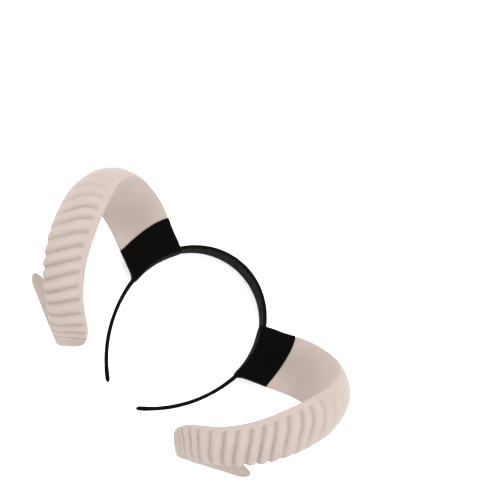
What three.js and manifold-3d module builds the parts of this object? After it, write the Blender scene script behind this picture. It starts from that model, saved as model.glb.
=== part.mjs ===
// Ram horns headband, lying as it rests by itself on a table.
// Millimetres. X points right, Y points to the crown of the hoop and Z points up.
// The hoop lies level, and the sleeves and the flared tips of the horns touch the table.
// The origin is the middle of the bounding box's footprint, on the table.

import * as THREE from 'three';
import * as BufferGeometryUtils from 'three/addons/utils/BufferGeometryUtils.js';
import Module from 'manifold-3d';

// Hoop: a springy plastic band, half an ellipse over the crown and two arcs down to its tips.
// armLean is the arms' inward lean in degrees where they leave the ellipse.
const hoopInnerWidth = 116;
const crownRise = 60;
const armDrop = 84.6;
const armLean = 1.2;
const tipGap = 29.6;
const hoopThickness = 2.8;
const crownBandWidth = 27;
const hoopLift = 0.5;
const tipBandWidth = 7;
const tipBulbThickness = 3.2;
const tipBulbLength = 8;
const hoopEdgeRound = 0.6;
const hoopFacetTurn = 6;

// Horn: a D-shaped soft section carried round one turn of a curl that drops as it turns
const rootTilt = 20;
const rootOffset = 4.2;
const rootLength = 15;
const curlRadius = 46;
const curlDrop = 100;
const hornWidth = 49.5;
const hornDepth = 24;
const innerFaceBulge = 2.5;
const medialRise = 1.3;
const lateralRise = 0.55;
const riseBlendShare = 0.55;

// Ribs across the horn's domed face, from a smooth margin along its medial edge. The first valley
// is measured along the path from the sleeve's rim.
const ribPitch = 8.2;
const ribDepth = 1.8;
const firstValley = 94;
const marginShare = 0.17;
const marginBlendShare = 0.05;
const lateralFadeShare = 0.9;
const stationsPerRib = 4;
const plainStation = 6;
const ribCrest = 0.5;

// Sleeve: fabric pulled over the horn's root and round the hoop
const sleeveWall = 1.5;
const sideWallRatio = 1.3;
const sleeveClearance = 0.35;
const sleeveLength = 23;
const headSideWall = 1;
const bandCover = 3;
const rimGap = 0.6;
const rimBulge = 2;
const boxRise = 0.25;
const rimOverrunShare = 1.05;
const sleeveStations = 14;

// Fineness of the shape's own working
const pathStepTurn = 0.25;
const mergeDistance = 1e-5;
const shareTolerance = 1e-6;

// The horn's path and section, where turn is the angle round the curl in degrees and the straight
// root lies below zero. reach and drop place the section as shares of curlRadius and curlDrop.
// width and depth are shares of hornWidth and hornDepth, edge is a share of medialRise and rib is
// a share of ribDepth. roll lifts the medial edge and slant leans the section off the curl's axis,
// both in degrees.
const hornPath = [
  { turn: -36, reach: 1.00, drop: 0.000, width: 1.00, depth: 0.96, roll: 0, slant: 8, edge: 1.00, rib: 0.0 },
  { turn: 0, reach: 1.00, drop: 0.000, width: 1.00, depth: 1.00, roll: 0, slant: 9, edge: 1.00, rib: 0.0 },
  { turn: 30, reach: 0.99, drop: 0.000, width: 0.98, depth: 0.97, roll: 2, slant: 9, edge: 1.00, rib: 0.0 },
  { turn: 60, reach: 0.96, drop: 0.056, width: 0.94, depth: 0.92, roll: 6, slant: 13, edge: 1.00, rib: 0.0 },
  { turn: 75, reach: 0.955, drop: 0.112, width: 0.94, depth: 0.90, roll: 11, slant: 16, edge: 1.00, rib: 0.0 },
  { turn: 90, reach: 0.94, drop: 0.192, width: 0.93, depth: 0.88, roll: 14, slant: 18, edge: 0.90, rib: 0.0 },
  { turn: 120, reach: 0.935, drop: 0.357, width: 0.89, depth: 0.88, roll: 15, slant: 22, edge: 0.73, rib: 0.4 },
  { turn: 150, reach: 0.885, drop: 0.582, width: 0.83, depth: 0.77, roll: 20, slant: 23, edge: 0.73, rib: 1.0 },
  { turn: 180, reach: 0.87, drop: 0.778, width: 0.70, depth: 0.62, roll: 26, slant: 23, edge: 0.73, rib: 1.0 },
  { turn: 210, reach: 0.89, drop: 0.886, width: 0.60, depth: 0.50, roll: 32, slant: 22, edge: 0.73, rib: 1.0 },
  { turn: 240, reach: 0.95, drop: 0.938, width: 0.61, depth: 0.37, roll: 36, slant: 20, edge: 0.73, rib: 0.9 },
  { turn: 270, reach: 1.00, drop: 0.968, width: 0.53, depth: 0.22, roll: 38, slant: 14, edge: 0.73, rib: 0.7 },
  { turn: 300, reach: 1.10, drop: 0.967, width: 0.44, depth: 0.24, roll: 27, slant: 7, edge: 0.80, rib: 0.5 },
  { turn: 330, reach: 1.24, drop: 0.960, width: 0.36, depth: 0.24, roll: 14, slant: 2, edge: 0.90, rib: 0.3 },
  { turn: 360, reach: 1.38, drop: 0.940, width: 0.30, depth: 0.23, roll: 6, slant: 0, edge: 1.00, rib: 0.1 },
  { turn: 374, reach: 1.42, drop: 0.950, width: 0.20, depth: 0.16, roll: 4, slant: 0, edge: 1.00, rib: 0.0 },
  { turn: 379, reach: 1.43, drop: 0.950, width: 0.08, depth: 0.08, roll: 4, slant: 0, edge: 1.00, rib: 0.0 },
];

// The sleeve's shape, where place is the share of the way from the hoop's inner line to the rim.
// width and shift are shares of hornWidth, and box turns the domed section into a rounded box.
const sleevePath = [
  { place: -0.20, width: 0.99, shift: 0.035, box: 1.0 },
  { place: 0.11, width: 0.99, shift: 0.035, box: 1.0 },
  { place: 0.17, width: 0.98, shift: 0.03, box: 1.0 },
  { place: 0.24, width: 0.97, shift: 0.02, box: 0.9 },
  { place: 0.34, width: 0.97, shift: 0.015, box: 0.7 },
  { place: 0.65, width: 0.98, shift: 0.01, box: 0.2 },
  { place: 1.00, width: 1.00, shift: 0.00, box: 0.0 },
  { place: 1.10, width: 1.00, shift: 0.00, box: 0.0 },
];

// Share of the way round the domed outer face, from the medial edge to the lateral edge
const domeShares = [0, 0.05, 0.14, 0.27, 0.40, 0.53, 0.66, 0.79, 0.91, 1];
// Share of the way back along the smooth inner face, from the lateral edge to the medial edge
const innerShares = [0.12, 0.36, 0.64, 0.88];

const radians = THREE.MathUtils.degToRad;
const smoothstep = THREE.MathUtils.smoothstep;
const wasm = await Module();
wasm.setup();

// Closed solid through rings of points that all have the same count, capped with fans
function loft(rings) {
  const count = rings[0].length;
  const positions = [];
  const indices = [];
  for (const ring of rings) {
    for (const point of ring) {
      positions.push(point.x, point.y, point.z);
    }
  }
  for (let station = 0; station + 1 < rings.length; station += 1) {
    for (let i = 0; i < count; i += 1) {
      const next = (i + 1) % count;
      const a = station * count + i;
      const b = station * count + next;
      const c = a + count;
      const d = b + count;
      indices.push(a, b, d, a, d, c);
    }
  }
  const capCentre = (ring) => {
    const centre = new THREE.Vector3();
    for (const point of ring) {
      centre.addScaledVector(point, 1 / ring.length);
    }
    positions.push(centre.x, centre.y, centre.z);
    return positions.length / 3 - 1;
  };
  const first = capCentre(rings[0]);
  const last = capCentre(rings[rings.length - 1]);
  const lastStart = (rings.length - 1) * count;
  for (let i = 0; i < count; i += 1) {
    const next = (i + 1) % count;
    indices.push(first, next, i);
    indices.push(last, lastStart + i, lastStart + next);
  }
  const geometry = new THREE.BufferGeometry();
  geometry.setAttribute('position', new THREE.Float32BufferAttribute(positions, 3));
  geometry.setIndex(indices);
  return geometry;
}

function toManifold(geometry) {
  const bare = geometry.clone();
  bare.deleteAttribute('normal');
  bare.deleteAttribute('uv');
  const merged = BufferGeometryUtils.mergeVertices(bare, mergeDistance);
  const vertProperties = new Float32Array(merged.attributes.position.array);
  const triVerts = new Uint32Array(merged.index.array);
  return new wasm.Manifold(new wasm.Mesh({ numProp: 3, vertProperties, triVerts }));
}

function toGeometry(solid) {
  const mesh = solid.getMesh();
  const geometry = new THREE.BufferGeometry();
  geometry.setAttribute('position', new THREE.Float32BufferAttribute(mesh.vertProperties, 3));
  geometry.setIndex(new THREE.Uint32BufferAttribute(mesh.triVerts, 1));
  return geometry;
}

// Smooth value of one column of a table, a cubic through its rows, which are in order of their key
function smoothColumn(rows, key, name, at) {
  let i = 0;
  while (i < rows.length - 2 && at > rows[i + 1][key]) {
    i += 1;
  }
  const slope = (k) => {
    const before = rows[Math.max(k - 1, 0)];
    const after = rows[Math.min(k + 1, rows.length - 1)];
    return (after[name] - before[name]) / (after[key] - before[key]);
  };
  const start = rows[i];
  const end = rows[i + 1];
  const span = end[key] - start[key];
  const t = THREE.MathUtils.clamp((at - start[key]) / span, 0, 1);
  const t2 = t * t;
  const t3 = t2 * t;
  return (2 * t3 - 3 * t2 + 1) * start[name] + (t3 - 2 * t2 + t) * span * slope(i)
    + (-2 * t3 + 3 * t2) * end[name] + (t3 - t2) * span * slope(i + 1);
}

function column(name, turn) {
  return smoothColumn(hornPath, 'turn', name, turn);
}

// Hoop line

const halfWidth = hoopInnerWidth / 2;
const armRun = halfWidth - tipGap / 2;
const armStart = THREE.MathUtils.degToRad(armLean);
const armTurn = 2 * (Math.atan2(armRun, armDrop) - armStart);
const armRadius = Math.hypot(armRun, armDrop) / (2 * Math.sin(armTurn / 2));

// Point of the hoop's inner line and its outward direction, from the middle of the hoop's widest
// level, with share 0 at the crown and 1 at a tip
function hoopLine(share) {
  const crownTurn = Math.PI / 2;
  const wholeTurn = crownTurn + armTurn;
  const turn = share * wholeTurn;
  if (turn <= crownTurn) {
    const point = new THREE.Vector2(halfWidth * Math.sin(turn), crownRise * Math.cos(turn));
    const outward = new THREE.Vector2(Math.sin(turn) / halfWidth, Math.cos(turn) / crownRise);
    return { point, outward: outward.normalize() };
  }
  const armAngle = armStart + turn - crownTurn;
  const outward = new THREE.Vector2(Math.cos(armAngle), -Math.sin(armAngle));
  const point = outward.clone().multiplyScalar(armRadius);
  point.x += halfWidth - armRadius * Math.cos(armStart);
  point.y += armRadius * Math.sin(armStart);
  return { point, outward };
}

// Shared frame

const tilt = radians(rootTilt);
const outAxis = new THREE.Vector3(Math.cos(tilt), Math.sin(tilt), 0);
const downAxis = new THREE.Vector3(Math.sin(tilt), -Math.cos(tilt), 0);
const upAxis = new THREE.Vector3(0, 0, 1);
const curlHeight = curlRadius * column('reach', 0) + hornDepth * column('depth', 0);
const rootThickness = hornDepth * column('depth', 0) + innerFaceBulge;
const hoopHeight = rootThickness / 2 + hoopLift;

// Share of the hoop that lies at a place along the down axis, found by closing in from both ends
function hoopShareAt(place) {
  let above = 0;
  let below = 1;
  while (below - above > shareTolerance) {
    const share = (above + below) / 2;
    const { point } = hoopLine(share);
    if (point.x * downAxis.x + point.y * downAxis.y < place) {
      above = share;
    } else {
      below = share;
    }
  }
  return above;
}

// How far out the hoop's inner line lies at a place along the down axis
function hoopOutAt(place) {
  const { point } = hoopLine(hoopShareAt(place));
  return point.x * outAxis.x + point.y * outAxis.y;
}

const rootShare = hoopShareAt(rootOffset);
const curlCentreOut = hoopOutAt(rootOffset) + rootLength;

// Turn that stands for a length along the root, counted from the hoop's inner line
function turnAlongRoot(length) {
  return THREE.MathUtils.radToDeg((length - rootLength) / curlRadius);
}

const bareTurn = turnAlongRoot(sleeveLength + rimGap);
const fullTurn = turnAlongRoot(sleeveLength + rimGap + rimBulge);

// Hoop band

// Stations along the hoop as signed shares, with a flat facet over the middle of the crown
function hoopStations() {
  const wholeTurn = 90 + THREE.MathUtils.radToDeg(armTurn);
  const facets = Math.round(wholeTurn / hoopFacetTurn);
  const shares = [];
  for (let i = 0; i <= facets; i += 1) {
    shares.push((i + 0.5) / (facets + 0.5));
  }
  const mirrored = shares.slice().reverse().map((share) => -share);
  return mirrored.concat(shares);
}

// Width of the band, which narrows from the crown to the sleeve and from the sleeve to the tip
function bandWidth(share) {
  const there = Math.abs(share);
  const inSleeve = rootThickness - 2 * bandCover;
  if (there < rootShare) {
    return THREE.MathUtils.lerp(crownBandWidth, inSleeve, smoothstep(there, 0, rootShare));
  }
  return THREE.MathUtils.lerp(inSleeve, tipBandWidth, smoothstep(there, rootShare, 1));
}

// Outline of the hoop in plan, moved outward from its inner line, closed across the tips
function hoopOutline(offset) {
  const shape = new THREE.Shape();
  hoopStations().forEach((share, index) => {
    const { point, outward } = hoopLine(Math.abs(share));
    const side = Math.sign(share);
    const x = side * (point.x + outward.x * offset);
    const y = point.y + outward.y * offset;
    if (index === 0) {
      shape.moveTo(x, y);
    } else {
      shape.lineTo(x, y);
    }
  });
  return shape;
}

// Upright prism over the area inside the hoop, taller than the root is thick
function hoopPrism(offset) {
  const depth = 4 * rootThickness;
  const prism = new THREE.ExtrudeGeometry(hoopOutline(offset), { depth, bevelEnabled: false });
  prism.translate(0, 0, hoopHeight - depth / 2);
  return prism;
}

// The hoop's band, grown all round by an allowance
function hoopBand(grow) {
  const rings = [];
  const bulbShare = tipBulbLength / (armDrop + crownRise);
  for (const share of hoopStations()) {
    const { point, outward } = hoopLine(Math.abs(share));
    const side = Math.sign(share);
    const swell = smoothstep(Math.abs(share), 1 - bulbShare, 1 - bulbShare / 2);
    const thickness = hoopThickness + (tipBulbThickness - hoopThickness) * swell + 2 * grow;
    const middle = hoopThickness / 2;
    const half = bandWidth(share) / 2 + grow;
    const round = Math.min(hoopEdgeRound, thickness / 4);
    const section = [
      [-thickness / 2, -half + round],
      [-thickness / 2 + round, -half],
      [thickness / 2 - round, -half],
      [thickness / 2, -half + round],
      [thickness / 2, half - round],
      [thickness / 2 - round, half],
      [-thickness / 2 + round, half],
      [-thickness / 2, half - round],
    ];
    const ring = section.map(([across, along]) => new THREE.Vector3(
      side * (point.x + outward.x * (middle + across)),
      point.y + outward.y * (middle + across),
      hoopHeight + along,
    ));
    rings.push(ring);
  }
  return loft(rings);
}

// Horn and sleeve

// Middle of the section's edge line at a turn, with its radial and travelling directions
function pathFrame(turn) {
  const angle = radians(Math.max(turn, 0));
  const straight = radians(Math.min(turn, 0)) * curlRadius;
  const radial = outAxis.clone().multiplyScalar(Math.sin(angle)).addScaledVector(upAxis, -Math.cos(angle));
  const travel = outAxis.clone().multiplyScalar(Math.cos(angle)).addScaledVector(upAxis, Math.sin(angle));
  const centre = outAxis.clone().multiplyScalar(curlCentreOut + straight);
  centre.addScaledVector(downAxis, rootOffset + curlDrop * column('drop', turn));
  centre.addScaledVector(upAxis, curlHeight);
  centre.addScaledVector(radial, curlRadius * column('reach', turn));
  const slant = radians(column('slant', turn));
  const roll = radians(column('roll', turn));
  const across = downAxis.clone().multiplyScalar(Math.cos(slant)).addScaledVector(travel, -Math.sin(slant));
  const widthAxis = across.clone().multiplyScalar(Math.cos(roll)).addScaledVector(radial, -Math.sin(roll));
  const depthAxis = radial.clone().multiplyScalar(Math.cos(roll)).addScaledVector(across, Math.sin(roll));
  return { centre, widthAxis, depthAxis };
}

// Section of the horn at a turn, drawn in by an inset, with its ribs at their phase. spread widens
// it, shift moves it along its width and box turns the dome into a rounded box.
function hornRing(turn, inset, phase, { spread = 1, shift = 0, box = 0 } = {}) {
  const { centre, widthAxis, depthAxis } = pathFrame(turn);
  const half = hornWidth * spread * column('width', turn) / 2;
  const depth = hornDepth * column('depth', turn);
  const bulge = innerFaceBulge * column('depth', turn);
  const middle = (depth - bulge) / 2;
  const sideShrink = 1 - sideWallRatio * inset / half;
  const faceShrink = 1 - 2 * inset / (depth + bulge);
  const place = (across, rise) => centre.clone()
    .addScaledVector(widthAxis, across * sideShrink + shift * hornWidth)
    .addScaledVector(depthAxis, middle + (rise - middle) * faceShrink);
  const valley = ribDepth * column('rib', turn) * (1 - Math.abs(Math.sin(Math.PI * phase)));
  const ring = domeShares.map((share) => {
    const angle = Math.PI * share;
    const inward = smoothstep(share, marginShare, marginShare + marginBlendShare);
    const sunk = valley * inward * (1 - smoothstep(share, lateralFadeShare, 1));
    const across = -Math.cos(angle) * (half - sunk * Math.abs(Math.cos(angle)));
    const blend = smoothstep(share, 0, riseBlendShare);
    const lean = THREE.MathUtils.lerp(medialRise * column('edge', turn), lateralRise, blend);
    const power = THREE.MathUtils.lerp(lean, boxRise, box);
    return place(across, Math.pow(Math.abs(Math.sin(angle)), power) * (depth - sunk));
  });
  ring[ring.length - 1] = place(half, 0);
  for (const share of innerShares) {
    const across = 1 - 2 * share;
    ring.push(place(half * across, -bulge * (1 - across * across)));
  }
  return ring.reverse();
}

// Evenly spaced values between two ends, both included
function spaced(start, end, steps) {
  return Array.from({ length: steps + 1 }, (_, i) => start + (end - start) * i / steps);
}

// Length along the path from the rim at closely spaced turns
function measurePath() {
  const lastTurn = hornPath[hornPath.length - 1].turn;
  const table = [{ turn: bareTurn, length: 0 }];
  let before = pathFrame(bareTurn).centre;
  let length = 0;
  for (const turn of spaced(bareTurn, lastTurn, Math.ceil((lastTurn - bareTurn) / pathStepTurn))) {
    const here = pathFrame(turn).centre;
    length += here.distanceTo(before);
    before = here;
    table.push({ turn, length });
  }
  return table;
}

// Turns of the bare horn's stations and their rib phase, with a station in each valley
function hornStations() {
  const table = measurePath();
  const { length: pathLength, turn: lastTurn } = table[table.length - 1];
  const plainLength = firstValley - ribPitch / 2;
  const lengths = spaced(0, plainLength, Math.round(plainLength / plainStation));
  const step = ribPitch / stationsPerRib;
  for (let length = plainLength + step; length < pathLength - step / 2; length += step) {
    lengths.push(length);
  }
  const stations = lengths.map((length) => {
    const { turn } = table.find((row) => row.length >= length);
    const phase = length > plainLength ? (length - firstValley) / ribPitch : ribCrest;
    return { turn, phase };
  });
  stations.splice(1, 0, { turn: fullTurn, phase: ribCrest });
  stations.push({ turn: lastTurn, phase: ribCrest });
  return stations;
}

// Ring of the sleeve or of what it holds, bent towards the hoop's line as it nears the hoop
function sleeveRing(place, inset) {
  const form = {
    spread: smoothColumn(sleevePath, 'place', 'width', place),
    shift: smoothColumn(sleevePath, 'place', 'shift', place),
    box: smoothColumn(sleevePath, 'place', 'box', place),
  };
  const ring = hornRing(turnAlongRoot(place * sleeveLength), inset, ribCrest, form);
  for (const point of ring) {
    const along = place * sleeveLength;
    const bend = hoopOutAt(point.dot(downAxis)) + along - point.dot(outAxis);
    point.addScaledVector(outAxis, bend * THREE.MathUtils.clamp(1 - place, 0, 1));
  }
  return ring;
}

// Rings between two shares of the way from the hoop's inner line to the rim
function sleeveRings(startPlace, endPlace, inset) {
  return spaced(startPlace, endPlace, sleeveStations).map((place) => sleeveRing(place, inset));
}

// The horn's core fills the sleeve up to the hoop, and its bare part swells just past the rim
function makeHorn() {
  const coreInset = sleeveWall + sleeveClearance;
  const core = sleeveRings(0, 1, coreInset);
  const bare = hornStations().map(({ turn, phase }) => {
    const swell = smoothstep(turn, bareTurn, fullTurn);
    return hornRing(turn, coreInset * (1 - swell), phase);
  });
  const hoopRoom = toManifold(hoopPrism(hoopThickness + sleeveClearance));
  return toManifold(loft(core.concat(bare))).subtract(hoopRoom);
}

// The sleeve is hollow from its rim to the hoop, and the hoop runs through it
function makeSleeve() {
  const outside = toManifold(loft(sleeveRings(sleevePath[0].place, 1, 0)));
  const inside = toManifold(loft(sleeveRings(0, rimOverrunShare, sleeveWall)));
  const hollow = inside.subtract(toManifold(hoopPrism(hoopThickness / 2)));
  const slot = toManifold(hoopBand(sleeveClearance));
  const headSpace = toManifold(hoopPrism(-sleeveClearance - headSideWall));
  return outside.subtract(hollow).subtract(slot).subtract(headSpace);
}

// Mirror of a geometry in the plane of symmetry, with its faces turned back outward
function mirrored(geometry) {
  const copy = geometry.clone();
  copy.scale(-1, 1, 1);
  const index = copy.index.array;
  for (let i = 0; i < index.length; i += 3) {
    const keep = index[i + 1];
    index[i + 1] = index[i + 2];
    index[i + 2] = keep;
  }
  return copy;
}

const hornMaterial = new THREE.MeshStandardMaterial({ color: 0xd9ccc4, roughness: 0.9, metalness: 0 });
const sleeveMaterial = new THREE.MeshStandardMaterial({ color: 0x0d0d0f, roughness: 0.85, metalness: 0 });
const hoopMaterial = new THREE.MeshStandardMaterial({ color: 0x14110f, roughness: 0.4, metalness: 0 });

function named(name, geometry, material) {
  const mesh = new THREE.Mesh(geometry, material);
  mesh.name = name;
  return mesh;
}

const headband = new THREE.Group();
headband.add(named('headband_hoop', hoopBand(0), hoopMaterial));
const hornRight = toGeometry(makeHorn());
const sleeveRight = toGeometry(makeSleeve());
headband.add(named('horn_right', hornRight, hornMaterial));
headband.add(named('horn_left', mirrored(hornRight), hornMaterial));
headband.add(named('sleeve_right', sleeveRight, sleeveMaterial));
headband.add(named('sleeve_left', mirrored(sleeveRight), sleeveMaterial));

const box = new THREE.Box3().setFromObject(headband);
headband.position.set(0, -(box.min.y + box.max.y) / 2, -box.min.z);
headband.updateMatrixWorld(true);

export default headband;
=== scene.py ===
"""Ram horns headband: soft curled horns on black fabric sleeves and a springy plastic hoop."""

from __future__ import annotations

import logging
import math
from dataclasses import dataclass
from enum import Enum, IntEnum

import bpy
import numpy as np
from mathutils import Matrix, Vector


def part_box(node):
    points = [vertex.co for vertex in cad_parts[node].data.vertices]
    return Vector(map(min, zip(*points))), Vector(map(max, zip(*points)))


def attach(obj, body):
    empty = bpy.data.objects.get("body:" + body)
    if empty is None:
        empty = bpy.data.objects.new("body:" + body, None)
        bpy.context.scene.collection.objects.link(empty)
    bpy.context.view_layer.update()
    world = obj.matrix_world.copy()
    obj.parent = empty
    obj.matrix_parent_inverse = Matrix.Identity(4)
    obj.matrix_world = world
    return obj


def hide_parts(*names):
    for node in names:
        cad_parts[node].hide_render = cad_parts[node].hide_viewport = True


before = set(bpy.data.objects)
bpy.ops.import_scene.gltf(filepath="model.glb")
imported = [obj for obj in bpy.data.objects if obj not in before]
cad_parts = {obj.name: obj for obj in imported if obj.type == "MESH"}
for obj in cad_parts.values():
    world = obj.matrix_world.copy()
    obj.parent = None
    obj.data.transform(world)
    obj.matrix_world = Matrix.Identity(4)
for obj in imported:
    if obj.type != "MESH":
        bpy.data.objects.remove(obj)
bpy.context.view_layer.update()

log = logging.getLogger("headband")

MM = 0.001

# Short names of types.
Array = np.ndarray
Piece = bpy.types.Object
Socket = bpy.types.NodeSocket
Pair = tuple[float, float]
Pairs = tuple[Pair, ...]
Row = tuple[float, ...]
Triple = tuple[float, float, float]


class Side(Enum):
    """Which side of the headband a piece is on, as the sign of X."""

    RIGHT = 1
    LEFT = -1

    @property
    def word(self) -> str:
        """The side's name as it ends a node's name."""
        return self.name.lower()


def smoothstep(value: Array | float, start: float, end: float) -> Array:
    """Eases from 0 at start to 1 at end.

    Args:
        value: The values to ease.
        start: Where the ease begins.
        end: Where the ease is complete.

    Returns:
        The eased shares, from 0 to 1.
    """
    share = np.clip((np.asarray(value, float) - start) / (end - start), 0.0, 1.0)
    return share * share * (3.0 - 2.0 * share)


def lerp(start: Array | float, end: Array | float, share: Array | float) -> Array:
    """Mixes two values by a share."""
    return start + (np.asarray(end, float) - start) * share


def smooth_column(rows: Array, number: int, at: Array) -> Array:
    """Smooth value of one column of a table, a cubic through its rows.

    Args:
        rows: The table, in order of its first column.
        number: Which column to read.
        at: Places on the first column.

    Returns:
        The column's value at each place.
    """
    places, values = rows[:, 0], rows[:, number]
    before = np.maximum(np.arange(len(places)) - 1, 0)
    after = np.minimum(np.arange(len(places)) + 1, len(places) - 1)
    slopes = (values[after] - values[before]) / (places[after] - places[before])
    i = np.clip(np.searchsorted(places, at, side="right") - 1, 0, len(places) - 2)
    span = places[i + 1] - places[i]
    t = np.clip((at - places[i]) / span, 0.0, 1.0)
    t2, t3 = t * t, t * t * t
    start = (2 * t3 - 3 * t2 + 1) * values[i] + (t3 - 2 * t2 + t) * span * slopes[i]
    return start + (-2 * t3 + 3 * t2) * values[i + 1] + (t3 - t2) * span * slopes[i + 1]


def soften_ring(ring: Array, reach: float, count: int) -> Array:
    """Rounds the corners of a closed outline and spaces its points evenly.

    Args:
        ring: Points of the outline in the plane, in millimetres.
        reach: How far the rounding reaches, in millimetres.
        count: How many points the result has.

    Returns:
        The rounded outline, starting nearest to the first point given.
    """
    closed = np.vstack([ring, ring[:1]])
    steps = np.linalg.norm(np.diff(closed, axis=0), axis=1)
    along = np.concatenate([[0.0], np.cumsum(steps)])
    total = along[-1]
    even = np.linspace(0.0, total, count, endpoint=False)
    points = np.stack([np.interp(even, along, closed[:, k]) for k in range(2)], -1)
    offsets = np.arange(count)
    offsets = np.minimum(offsets, count - offsets) * (total / count)
    kernel = np.exp(-0.5 * (offsets / reach) ** 2)
    kernel /= kernel.sum()
    spectrum = np.fft.fft(kernel)[:, None]
    return np.real(np.fft.ifft(np.fft.fft(points, axis=0) * spectrum, axis=0))


class ValueNoise:
    """Smooth repeatable noise in space, used for the small unevenness of soft pieces."""

    table_size = 4096
    cell_steps = (73, 179, 283)
    mix_steps = (31, 7, 17)

    def __init__(self, seed: int) -> None:
        """Fills the table of random values from a seed."""
        self.table = np.random.default_rng(seed).uniform(-1.0, 1.0, self.table_size)

    def corner(self, cell: Array) -> Array:
        """Random value of each whole-numbered cell."""
        mixed = cell @ np.array(self.cell_steps)
        first, split, second = self.mix_steps
        return self.table[np.mod(mixed * first + (mixed // split) * second, self.table_size)]

    def at(self, points: Array, scale: float) -> Array:
        """Noise at points.

        Args:
            points: Places in millimetres, with three columns.
            scale: Size of one bump in millimetres.

        Returns:
            Values from -1 to 1, one for each point.
        """
        placed = points / scale
        cell = np.floor(placed).astype(int)
        part = placed - cell
        part = part * part * (3.0 - 2.0 * part)
        total = np.zeros(len(points))
        for corner in range(8):
            step = np.array([corner & 1, (corner >> 1) & 1, (corner >> 2) & 1])
            weight = np.prod(np.where(step == 1, part, 1.0 - part), axis=-1)
            total += weight * self.corner(cell + step)
        return total

    def roughen(self, solid: Array, bumps: Pairs) -> Array:
        """Moves the points of rings a little in or out.

        Args:
            solid: Points in millimetres, as ring, point and coordinate.
            bumps: Height and size of each layer of bumps, in millimetres.

        Returns:
            The moved points, in the same layout.
        """
        flat = solid.reshape(-1, 3)
        away = (solid - solid.mean(1, keepdims=True)).reshape(-1, 3)
        away /= np.linalg.norm(away, axis=1, keepdims=True) + 1e-9
        moved = sum(height * self.at(flat, scale) for height, scale in bumps)
        return (flat + away * moved[:, None]).reshape(solid.shape)


def closed_mesh(name: str, rings: Array, mirror: bool, finish: bpy.types.Material) -> Piece:
    """Makes a closed, smooth-shaded mesh from rings, with a fan over each end.

    Args:
        name: Name of the object.
        rings: Points in millimetres, as ring, point and coordinate.
        mirror: True where the piece is mirrored to the left side.
        finish: The material that covers it.

    Returns:
        The new object, with its place in its mesh, in metres.
    """
    total, count = rings.shape[:2]
    points = rings.reshape(-1, 3)
    ends = np.stack([rings[0].mean(0), rings[-1].mean(0)])
    points = np.vstack([points, ends]) * MM
    first, last = total * count, total * count + 1
    top = (total - 1) * count
    sides = [(i, (i + 1) % count) for i in range(count)]
    faces = []
    for base in range(0, top, count):
        above = base + count
        faces += [(base + i, base + after, above + after, above + i) for i, after in sides]
    for i, after in sides:
        faces.append((first, after, i))
        faces.append((last, top + i, top + after))
    if mirror:
        points = points * np.array([-1.0, 1.0, 1.0])
        faces = [tuple(reversed(face)) for face in faces]
    mesh = bpy.data.meshes.new(name)
    mesh.from_pydata(points.tolist(), [], faces)
    mesh.validate()
    mesh.polygons.foreach_set("use_smooth", [True] * len(mesh.polygons))
    mesh.update()
    mesh.materials.append(finish)
    piece = bpy.data.objects.new(name, mesh)
    bpy.context.scene.collection.objects.link(piece)
    return piece


def paint(piece: Piece, name: str, values: Array) -> None:
    """Stores a value for each point of a mesh, which the materials read.

    Args:
        piece: The object whose mesh takes the values.
        name: Name of the attribute.
        values: One value for each point but the last two, the ends' middles.
    """
    layer = piece.data.attributes.new(name, "FLOAT", "POINT")
    filled = np.concatenate([values, [0.0, 0.0]])
    layer.data.foreach_set("value", filled.astype(np.float32))


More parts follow.
